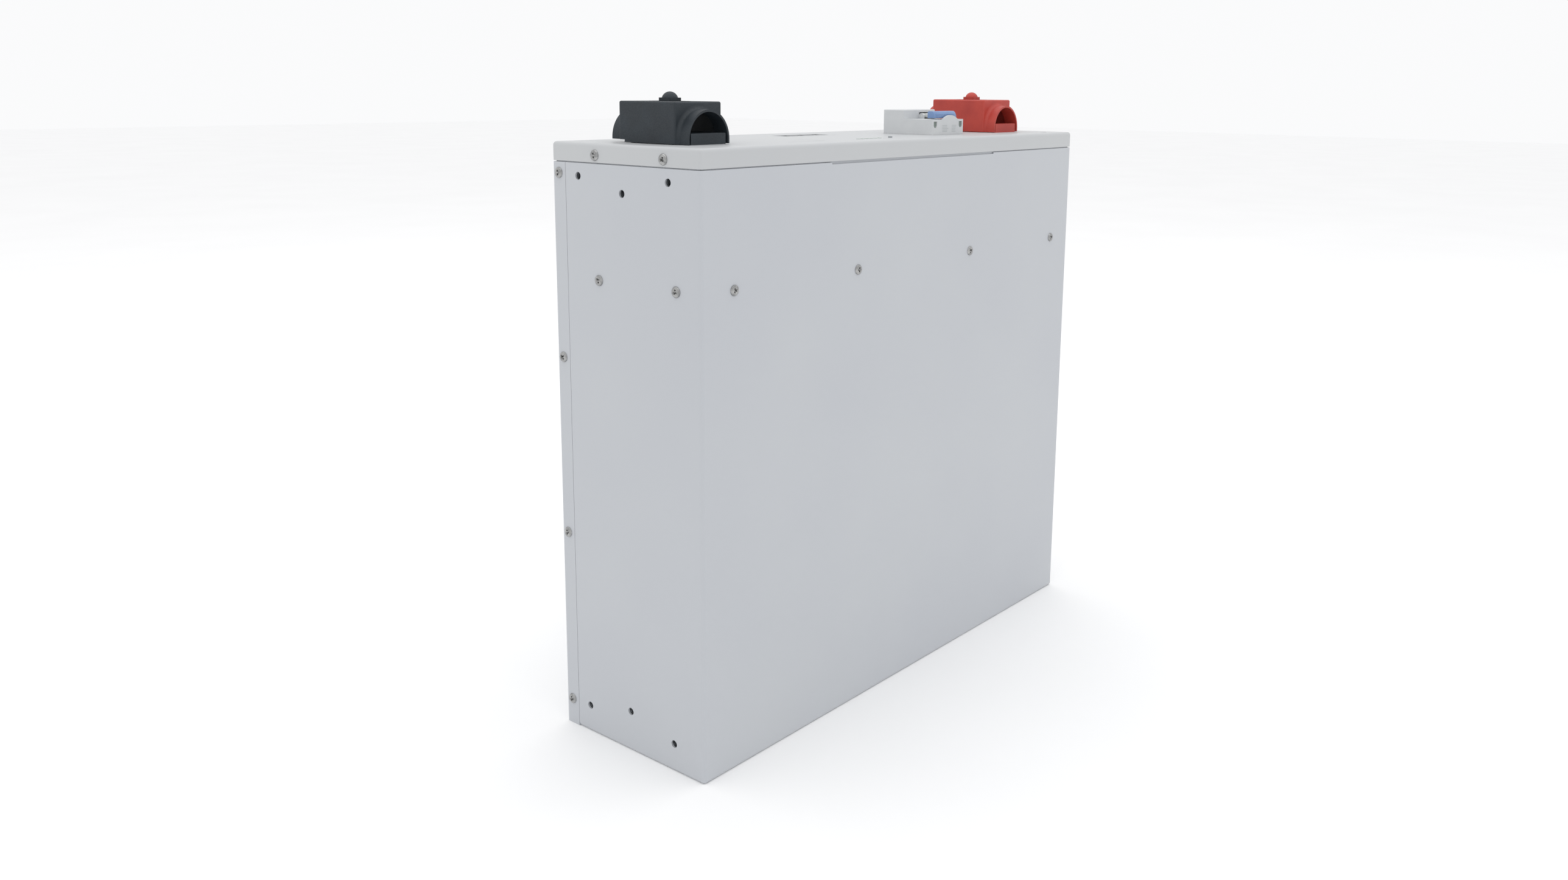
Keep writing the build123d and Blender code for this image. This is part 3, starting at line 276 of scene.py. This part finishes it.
def islands(nodeName):
    # box of each separate solid in a node, in millimetres
    bm = bmesh.new()
    bm.from_mesh(frame["nodes"][nodeName].data)
    bmesh.ops.remove_doubles(bm, verts=bm.verts, dist=weldMm * mm)
    seen = set()
    boxes = []
    for start in bm.verts:
        if start in seen:
            continue
        group, queue = [], [start]
        seen.add(start)
        while queue:
            vert = queue.pop()
            group.append(vert.co / mm)
            for edge in vert.link_edges:
                other = edge.other_vert(vert)
                if other not in seen:
                    seen.add(other)
                    queue.append(other)
        low = Vector([min(co[i] for co in group) for i in range(3)])
        high = Vector([max(co[i] for co in group) for i in range(3)])
        boxes.append((low, high))
    bm.free()
    return boxes


screw = {
    "headMm": 7.0,
    "riseMm": 1.3,
    "crown": [(0, 1), (0.5, 0.98), (0.74, 0.88), (0.89, 0.68), (0.97, 0.38), (1, 0.12), (0.985, 0)],
    "shankMm": 3.9,
    "lengthMm": 8.0,
    "tipMm": 0.8,            # tapered end of the shank
    "tipShare": 0.7,
    "steps": 40,
    "recessMm": 4.3,         # across the cross recess
    "recessSlotMm": 1.35,
    "recessDeepMm": 1.3,
    "recessFoot": (0.3, 0.7),    # the recess's foot against its mouth, along and across a slot
    "clearMm": 0.4,          # the cutter starts this far above the crown
    "creaseDegrees": 28,
    "seed": 7,
}


def screwMesh():
    # pan head with a tapered cross recess, seat at the origin, head towards +Z
    r, shank = screw["headMm"] / 2, screw["shankMm"] / 2
    rise, length = screw["riseMm"], screw["lengthMm"]
    profile = [(r * out, rise * up) for out, up in screw["crown"]]
    profile += [(shank, 0), (shank, screw["tipMm"] - length)]
    profile += [(shank * screw["tipShare"], -length), (0, -length)]
    head = bmesh.new()
    spun(head, profile, screw["steps"], Matrix())
    bmesh.ops.recalc_face_normals(head, faces=head.faces)
    blank = newBlank("screwHead", head)
    top, foot = rise + screw["clearMm"], rise - screw["recessDeepMm"]
    middle = (top + foot) / 2
    cutters = []
    for quarter in (0, 1):
        cutter = bmesh.new()
        bmesh.ops.create_cube(cutter, size=1)
        mouth = (screw["recessMm"], screw["recessSlotMm"], top - foot)
        bmesh.ops.scale(cutter, vec=mouth, verts=cutter.verts)
        bmesh.ops.translate(cutter, vec=(0, 0, middle), verts=cutter.verts)
        lower = [v for v in cutter.verts if v.co.z < middle]
        bmesh.ops.scale(cutter, vec=(*screw["recessFoot"], 1), verts=lower)
        turn = Matrix.Rotation(quarter * math.pi / 2, 3, "Z")
        bmesh.ops.rotate(cutter, cent=(0, 0, 0), matrix=turn, verts=cutter.verts)
        cut = blank.modifiers.new("recess", "BOOLEAN")
        cut.object = newBlank("recessCutter", cutter)
        cut.solver = "EXACT"
        cutters.append(cut.object)
    bpy.context.view_layer.update()
    made = bpy.data.meshes.new_from_object(blank.evaluated_get(bpy.context.evaluated_depsgraph_get()))
    for spare in [blank, *cutters]:
        bpy.data.objects.remove(spare)
    return made


def addScrews():
    # every screw of a group, its recess turned as the driver left it
    prototype = screwMesh()
    turn = Random(screw["seed"])
    for nodeName in ("lid_screws", "cover_screws", "partition_screws"):
        bm = bmesh.new()
        for low, high in islands(nodeName):
            size = high - low
            axis = max(range(3), key=lambda i: size[i])
            seat = (low + high) / 2
            side = 1 if seat[axis] > 0 else -1
            outward = Vector([side if i == axis else 0 for i in range(3)])
            seat[axis] = (high if side > 0 else low)[axis] - side * screw["riseMm"]
            before = len(bm.verts)
            bm.from_mesh(prototype)
            bm.verts.ensure_lookup_table()
            spin = Matrix.Rotation(turn.uniform(0, math.pi / 2), 4, "Z")
            place = Matrix.Translation(seat) @ outward.to_track_quat("Z", "Y").to_matrix().to_4x4() @ spin
            bmesh.ops.transform(bm, matrix=place, verts=bm.verts[before:])
        name = nodeName.replace("_screws", "Screws")
        piece = newPiece(name, bm, "screw_nickel", "case", screw["creaseDegrees"])
        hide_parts(nodeName)
    bpy.data.meshes.remove(prototype)


addScrews()
print("stage: screws")


hub = {
    "axleMm": 1.0,           # radius of the axle's ends
    "lugMm": 1.8,            # the lugs hold this length of axle at each end
    "rimMm": (1.3, 1.5),     # an end rim's width, and where its slope meets the groove
    "waistMm": (2.2, 2.4),   # the same for the middle rim, from the middle
    "grooveMm": 0.35,
    "steps": 32,
    # outlines from the axle: share of the way to the bar's back, millimetres more, height above the axle
    "arm": [(0, 0, -1.3), (0.5, 0, -1.0), (1, -0.3, -1.0), (1, -0.3, 1.2), (0.75, 0, 1.3), (0.45, 0, 1.75),
            (0.2, 0, 1.7), (0, 0, 1.8)],
    "armFromMm": (-5.5, 2.5),
    "armMm": 3,
    "armRoundMm": 0.3,
    "web": [(0.25, 0, -0.7), (1, -0.2, -0.7), (1, -0.2, 0.1), (0.25, 0, 0.1)],
    "webMm": 6,
    "webRoundMm": 0.15,
    "ribAt": (0.4, 0.58, 0.76),
    "rib": [(-0.35, 0), (0.35, 0), (0.2, 1.2), (-0.2, 1.2)],
    "ribMm": 5.6,
}


def addHub():
    # turned barrel on its axle, two hooked arms and the ribbed web between them
    low, high = boxMm("toggle_hub")
    barHigh = boxMm("breaker_toggle")[1]
    middleX = (low.x + high.x) / 2
    radius = (high.z - low.z) / 2
    pivotZ = (low.z + high.z) / 2
    pivotY = high.y - radius
    half = (high.x - low.x) / 2
    axle, groove, shoulder = hub["axleMm"], radius - hub["grooveMm"], half - hub["lugMm"]
    rim, slope = hub["rimMm"]
    waist, waistSlope = hub["waistMm"]
    end = [
        (0, -half), (axle, -half), (axle, -shoulder), (radius, -shoulder), (radius, rim - shoulder),
        (groove, slope - shoulder), (groove, -waistSlope), (radius, -waist),
    ]
    otherEnd = [(out, -along) for out, along in reversed(end)]
    across = Matrix.Translation((middleX, pivotY, pivotZ)) @ Matrix.Rotation(math.pi / 2, 4, "Y")
    bm = bmesh.new()
    spun(bm, end + otherEnd, hub["steps"], across)
    reach = barHigh.y - pivotY

    def fromAxle(points):
        return [(pivotY + reach * share + more, pivotZ + up) for share, more, up in points]

    for x in hub["armFromMm"]:
        arm = slab(bm, fromAxle(hub["arm"]), middleX + x, middleX + x + hub["armMm"])
        soften(bm, arm, hub["armRoundMm"])
    web = slab(bm, fromAxle(hub["web"]), middleX - hub["webMm"] / 2, middleX + hub["webMm"] / 2)
    soften(bm, web, hub["webRoundMm"])
    for share in hub["ribAt"]:
        rib = fromAxle([(share, more, up) for more, up in hub["rib"]])
        slab(bm, rib, middleX - hub["ribMm"] / 2, middleX + hub["ribMm"] / 2)
    piece = newPiece("toggleHub", bm, "hub_plastic", "toggle")
    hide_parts("toggle_hub")


handle = {
    # outline as shares of the bar's depth and height
    "outline": [(0.06, 0), (0.97, 0), (1, 0.08), (1, 0.8), (0.92, 0.96), (0.8, 1), (0.35, 1), (0.2, 0.95),
                (0.05, 0.68), (0, 0.3)],
    "roundMm": 0.3,
    "slopeMm": 1.7,          # the far end leans in towards its top
    "ridgeCount": 3,
    "ridgeMm": 0.5,
    "ridgeRise": (0.16, 0.18),   # first ridge and step to the next, as shares of the height
    "ridgeInset": 0.02,      # the lowest ridge sits back by this share of the depth
    "ridgeRootMm": 0.2,      # depth of a ridge inside the bar
    "ridgeCrest": (0.4, 0.5),    # how proud and how wide its crest is, against half its width
    "ridgeEndsMm": (2.5, 3.5),
    "creaseDegrees": 30,
}


def addHandle():
    # pull bar with a sloped end and grip ridges along its front
    low, high = boxMm("breaker_toggle")
    depth, height = high.y - low.y, high.z - low.z
    points = [(low.y + a * depth, low.z + b * height) for a, b in handle["outline"]]
    bm = bmesh.new()
    faces = slab(bm, points, low.x, high.x)
    for vert in bm.verts:
        if vert.co.x > (low.x + high.x) / 2:
            vert.co.x -= handle["slopeMm"] * (vert.co.z - low.z) / height
    soften(bm, faces, handle["roundMm"])
    half = handle["ridgeMm"] / 2
    proud, wide = (half * share for share in handle["ridgeCrest"])
    for i in range(handle["ridgeCount"]):
        z = low.z + height * (handle["ridgeRise"][0] + handle["ridgeRise"][1] * i)
        y = low.y + (0 if i else handle["ridgeInset"]) * depth
        root = y + handle["ridgeRootMm"]
        ridge = [(root, z - half), (y - proud, z - wide), (y - proud, z + wide), (root, z + half)]
        slab(bm, ridge, low.x + handle["ridgeEndsMm"][0], high.x - handle["ridgeEndsMm"][1])
    piece = newPiece("breakerToggle", bm, "toggle_plastic", "toggle", handle["creaseDegrees"])
    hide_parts("breaker_toggle")


plug = {
    "guardMm": 2.5,       # the breaker's front face to the handle behind its guard
    "underMm": 1.0,       # the top of its low part to the handle above
    "widthMm": 4.3,
    "heightMm": 4.7,
    "insetMm": 4.2,       # centre to the breaker's side
    "dropMm": 3.9,        # centre below the low part's top
    "deepMm": 0.75,       # face behind the breaker's front
    "thickMm": 0.14,
    "roundMm": 0.06,
    "arcSteps": 12,
}


def breakerFront():
    # the breaker's front face and the top of its low part, from the handle behind the guard
    low = boxMm("breaker_toggle")[0]
    return low.y - plug["guardMm"], low.z - plug["underMm"]


def addPlugs():
    # round-footed grey-green plugs at the bottom of the two recesses in the breaker's front
    low, high = boxMm("breaker_body")
    faceY, noseZ = breakerFront()
    r = plug["widthMm"] / 2
    rise = plug["heightMm"] / 2
    z = noseZ - plug["dropMm"]
    near = faceY + plug["deepMm"]
    turns = [i * math.pi / plug["arcSteps"] for i in range(plug["arcSteps"] + 1)]
    bm = bmesh.new()
    for x in (low.x + plug["insetMm"], high.x - plug["insetMm"]):
        outline = [(x - r, z + rise), (x + r, z + rise)]
        outline += [(x + r * math.cos(a), z + r - rise - r * math.sin(a)) for a in turns]
        soften(bm, slab(bm, outline, near, near + plug["thickMm"], axis=1), plug["roundMm"], 1)
    newPiece("breakerPlugs", bm, "breaker_plastic", "case", finish=plugGrey)


addHub()
addHandle()
addPlugs()
print("stage: breaker handle and plugs")


jackInside = {
    "socketMm": (11.8, 8.2),     # width and depth of the opening
    "backwardMm": 0.8,           # the opening's middle behind the jack's
    "mouthMm": 0.3,              # liner's lip below the jack's top
    "deepMm": 13.0,
    "wallMm": 0.25,
    "contactCount": 8,
    "contactPitchMm": 1.02,
    "contactMm": 0.35,
    "rootMm": (2.5, 2.0),        # a contact's root below the lip, its lower and upper side
    "elbowMm": (3.6, 3.0),       # its elbow: forward of the back wall, above the floor
    "tipMm": (3.9, 1.0),         # its tip, the same
}


def addJackInsides():
    # black moulded liner and eight sprung contacts in each socket
    liners, contacts = bmesh.new(), bmesh.new()
    wall, thick, count = jackInside["wallMm"], jackInside["contactMm"], jackInside["contactCount"]
    halfX, halfY = (size / 2 for size in jackInside["socketMm"])
    elbowY, elbowZ = jackInside["elbowMm"]
    tipY, tipZ = jackInside["tipMm"]
    for i in (1, 2, 3):
        low, high = boxMm(f"comms_jack_{i}")
        middleX = (low.x + high.x) / 2
        middleY = (low.y + high.y) / 2 + jackInside["backwardMm"]
        left, right, front, rear = middleX - halfX, middleX + halfX, middleY - halfY, middleY + halfY
        top, floor = high.z - jackInside["mouthMm"], high.z - jackInside["deepMm"]
        side = [(front, floor), (rear, floor), (rear, top), (front, top)]
        slab(liners, side, left, left + wall)
        slab(liners, side, right - wall, right)
        inLeft, inRight, inRear = left + wall, right - wall, rear - wall
        back = [(inLeft, floor), (inRight, floor), (inRight, top), (inLeft, top)]
        slab(liners, back, inRear, rear, axis=1)
        base = [(inLeft, front), (inRight, front), (inRight, inRear), (inLeft, inRear)]
        slab(liners, base, floor, floor + wall, axis=2)
        lowerRoot, upperRoot = (top - drop for drop in jackInside["rootMm"])
        wire = [
            (inRear, upperRoot), (inRear - elbowY, floor + elbowZ), (inRear - tipY, floor + tipZ),
            (inRear - tipY + thick, floor + tipZ), (inRear - elbowY + thick, floor + elbowZ),
            (inRear, lowerRoot),
        ]
        for k in range(count):
            x = middleX + (k - (count - 1) / 2) * jackInside["contactPitchMm"]
            slab(contacts, wire, x - thick / 2, x + thick / 2)
    newPiece("jackLiners", liners, "key_plastic", "case")
    newPiece("jackContacts", contacts, "stud_brass", "case")


addJackInsides()
print("stage: jack insides")


marks = {
    "liftMm": 0.03,          # ink stands on the surface
    "rulerMm": 0.35,         # width of the panel's ruled lines
    # rows of short bars on the breaker: each column's start and width as shares of the breaker's
    "columns": ((0.32, 0.2), (0.62, 0.16)),
    "rowCount": 5,
    "rowMm": 1.15,
    "rowFromMm": 2.2,        # lowest row above the panel
    "rowInkMm": 0.36,
    "shortest": 0.55,        # of a column's width
    "seed": 11,
    # a bar in front of each socket and a rule in front of all three
    "socketInsetMm": 3.5,
    "socketGapMm": 3.4,
    "socketInkMm": 0.9,
    "ruleOverMm": 4,
    "ruleGapMm": 5.2,
    # ticks in front of the lamps
    "tickMm": (1.8, 0.7),
    "tickGapMm": 2.6,
    # ruled corner: its start from the negative terminal, its line's place and its two lengths
    "cornerFromMm": 67,
    "cornerY": -41,
    "cornerMm": (38, 26),
}


def bar(bm, corner, along, across, length, width):
    # one printed bar
    start, along, across = Vector(corner), Vector(along) * length, Vector(across) * width
    corners = (start, start + along, start + along + across, start + across)
    bm.faces.new([bm.verts.new(spot) for spot in corners])


def addPrint():
    # generic ruled marks: rows of short bars on the breaker, a corner, rules and ticks on the panel
    right, up, back = (1, 0, 0), (0, 0, 1), (0, 1, 0)
    bodyLow, bodyHigh = boxMm("breaker_body")
    bodyWidth = bodyHigh.x - bodyLow.x
    panelTop = boxMm("top_panel")[1].z
    faceY = breakerFront()[0] - marks["liftMm"]
    lengths = Random(marks["seed"])
    bm = bmesh.new()
    for start, span in marks["columns"]:
        x = bodyLow.x + bodyWidth * start
        for row in range(marks["rowCount"]):
            width = bodyWidth * span * lengths.uniform(marks["shortest"], 1)
            z = panelTop + marks["rowFromMm"] + row * marks["rowMm"]
            bar(bm, (x, faceY, z), right, up, width, marks["rowInkMm"])
    inkZ = panelTop + marks["liftMm"]
    line = marks["rulerMm"]
    for i in (1, 2, 3):
        low, high = boxMm(f"comms_jack_{i}")
        width = high.x - low.x - 2 * marks["socketInsetMm"]
        spot = (low.x + marks["socketInsetMm"], low.y - marks["socketGapMm"], inkZ)
        bar(bm, spot, right, back, width, marks["socketInkMm"])
    jackLow = boxMm("comms_jack_1")[0]
    jackHigh = boxMm("comms_jack_3")[1]
    over = marks["ruleOverMm"]
    spot = (jackLow.x - over, jackLow.y - marks["ruleGapMm"], inkZ)
    bar(bm, spot, right, back, jackHigh.x - jackLow.x + 2 * over, line)
    tick, tickInk = marks["tickMm"]
    for low, high in islands("status_lamps"):
        spot = ((low.x + high.x) / 2 - tick / 2, low.y - marks["tickGapMm"], inkZ)
        bar(bm, spot, right, back, tick, tickInk)
    negativeLow, negativeHigh = boxMm("negative_cover")
    cornerX = (negativeLow.x + negativeHigh.x) / 2 + marks["cornerFromMm"]
    longSide, shortSide = marks["cornerMm"]
    bar(bm, (cornerX, marks["cornerY"], inkZ), right, back, longSide, line)
    bar(bm, (cornerX + longSide - line, marks["cornerY"], inkZ), right, back, line, shortSide)
    newPiece("printedMarks", bm, "key_plastic", "case", finish=printInk)


addPrint()
print("stage: printed marks")


view = {
    "place": (-0.7533, -0.5894, 0.4361),
    "yaw": 39.6,         # from +X towards +Y
    "pitch": 10.53,      # downwards
    "roll": 0.5,         # held a touch askew, anticlockwise
    "sensorMm": 36,
    "lens": 29.41,
    "shift": (-0.016, -0.074),
    "nearest": 0.01,
}


def addCamera():
    camera = bpy.data.objects.new("camera", bpy.data.cameras.new("camera"))
    bpy.context.collection.objects.link(camera)
    yaw, pitch, roll = (math.radians(view[angle]) for angle in ("yaw", "pitch", "roll"))
    ahead = Vector((math.cos(yaw) * math.cos(pitch), math.sin(yaw) * math.cos(pitch), -math.sin(pitch)))
    camera.location = view["place"]
    camera.rotation_euler = (ahead.to_track_quat("-Z", "Y") @ Quaternion((0, 0, 1), roll)).to_euler()
    camera.data.sensor_width = view["sensorMm"]
    camera.data.lens = view["lens"]
    camera.data.shift_x, camera.data.shift_y = view["shift"]
    camera.data.clip_start = view["nearest"]
    bpy.context.scene.camera = camera


studio = {
    "floor": ("#FDFDFD", "#FBFBFB"),
    "floorSize": 12,
    "floorCloud": (300, 2),
    "sky": (0.99, 0.993, 1.0),
    "skyStrength": 0.97,
    "overhead": {"place": (0.2, 0.1, 2.4), "size": 2.8, "power": 17},
}


def addStudio():
    world = bpy.data.worlds.new("paleSky")
    world.use_nodes = True
    background = world.node_tree.nodes["Background"]
    background.inputs["Color"].default_value = (*studio["sky"], 1)
    background.inputs["Strength"].default_value = studio["skyStrength"]
    bpy.context.scene.world = world
    bpy.context.scene.view_settings.view_transform = "Standard"
    lamp = bpy.data.lights.new("overhead", "AREA")
    lamp.energy = studio["overhead"]["power"]
    lamp.size = studio["overhead"]["size"]
    light = bpy.data.objects.new("overhead", lamp)
    light.location = studio["overhead"]["place"]
    bpy.context.collection.objects.link(light)
    sheet = bmesh.new()
    bmesh.ops.create_grid(sheet, x_segments=1, y_segments=1, size=studio["floorSize"])
    floor = newBlank("floor", sheet)
    # matt white paper with hardly any change of tone
    matt = {"Roughness": 0.9, "IOR": 1.45}
    paper = newFinish("paperSweep", matt, studio["floor"], studio["floorCloud"])[0]
    floor.data.materials.append(paper)


addCamera()
addStudio()
print("stage: camera and studio")
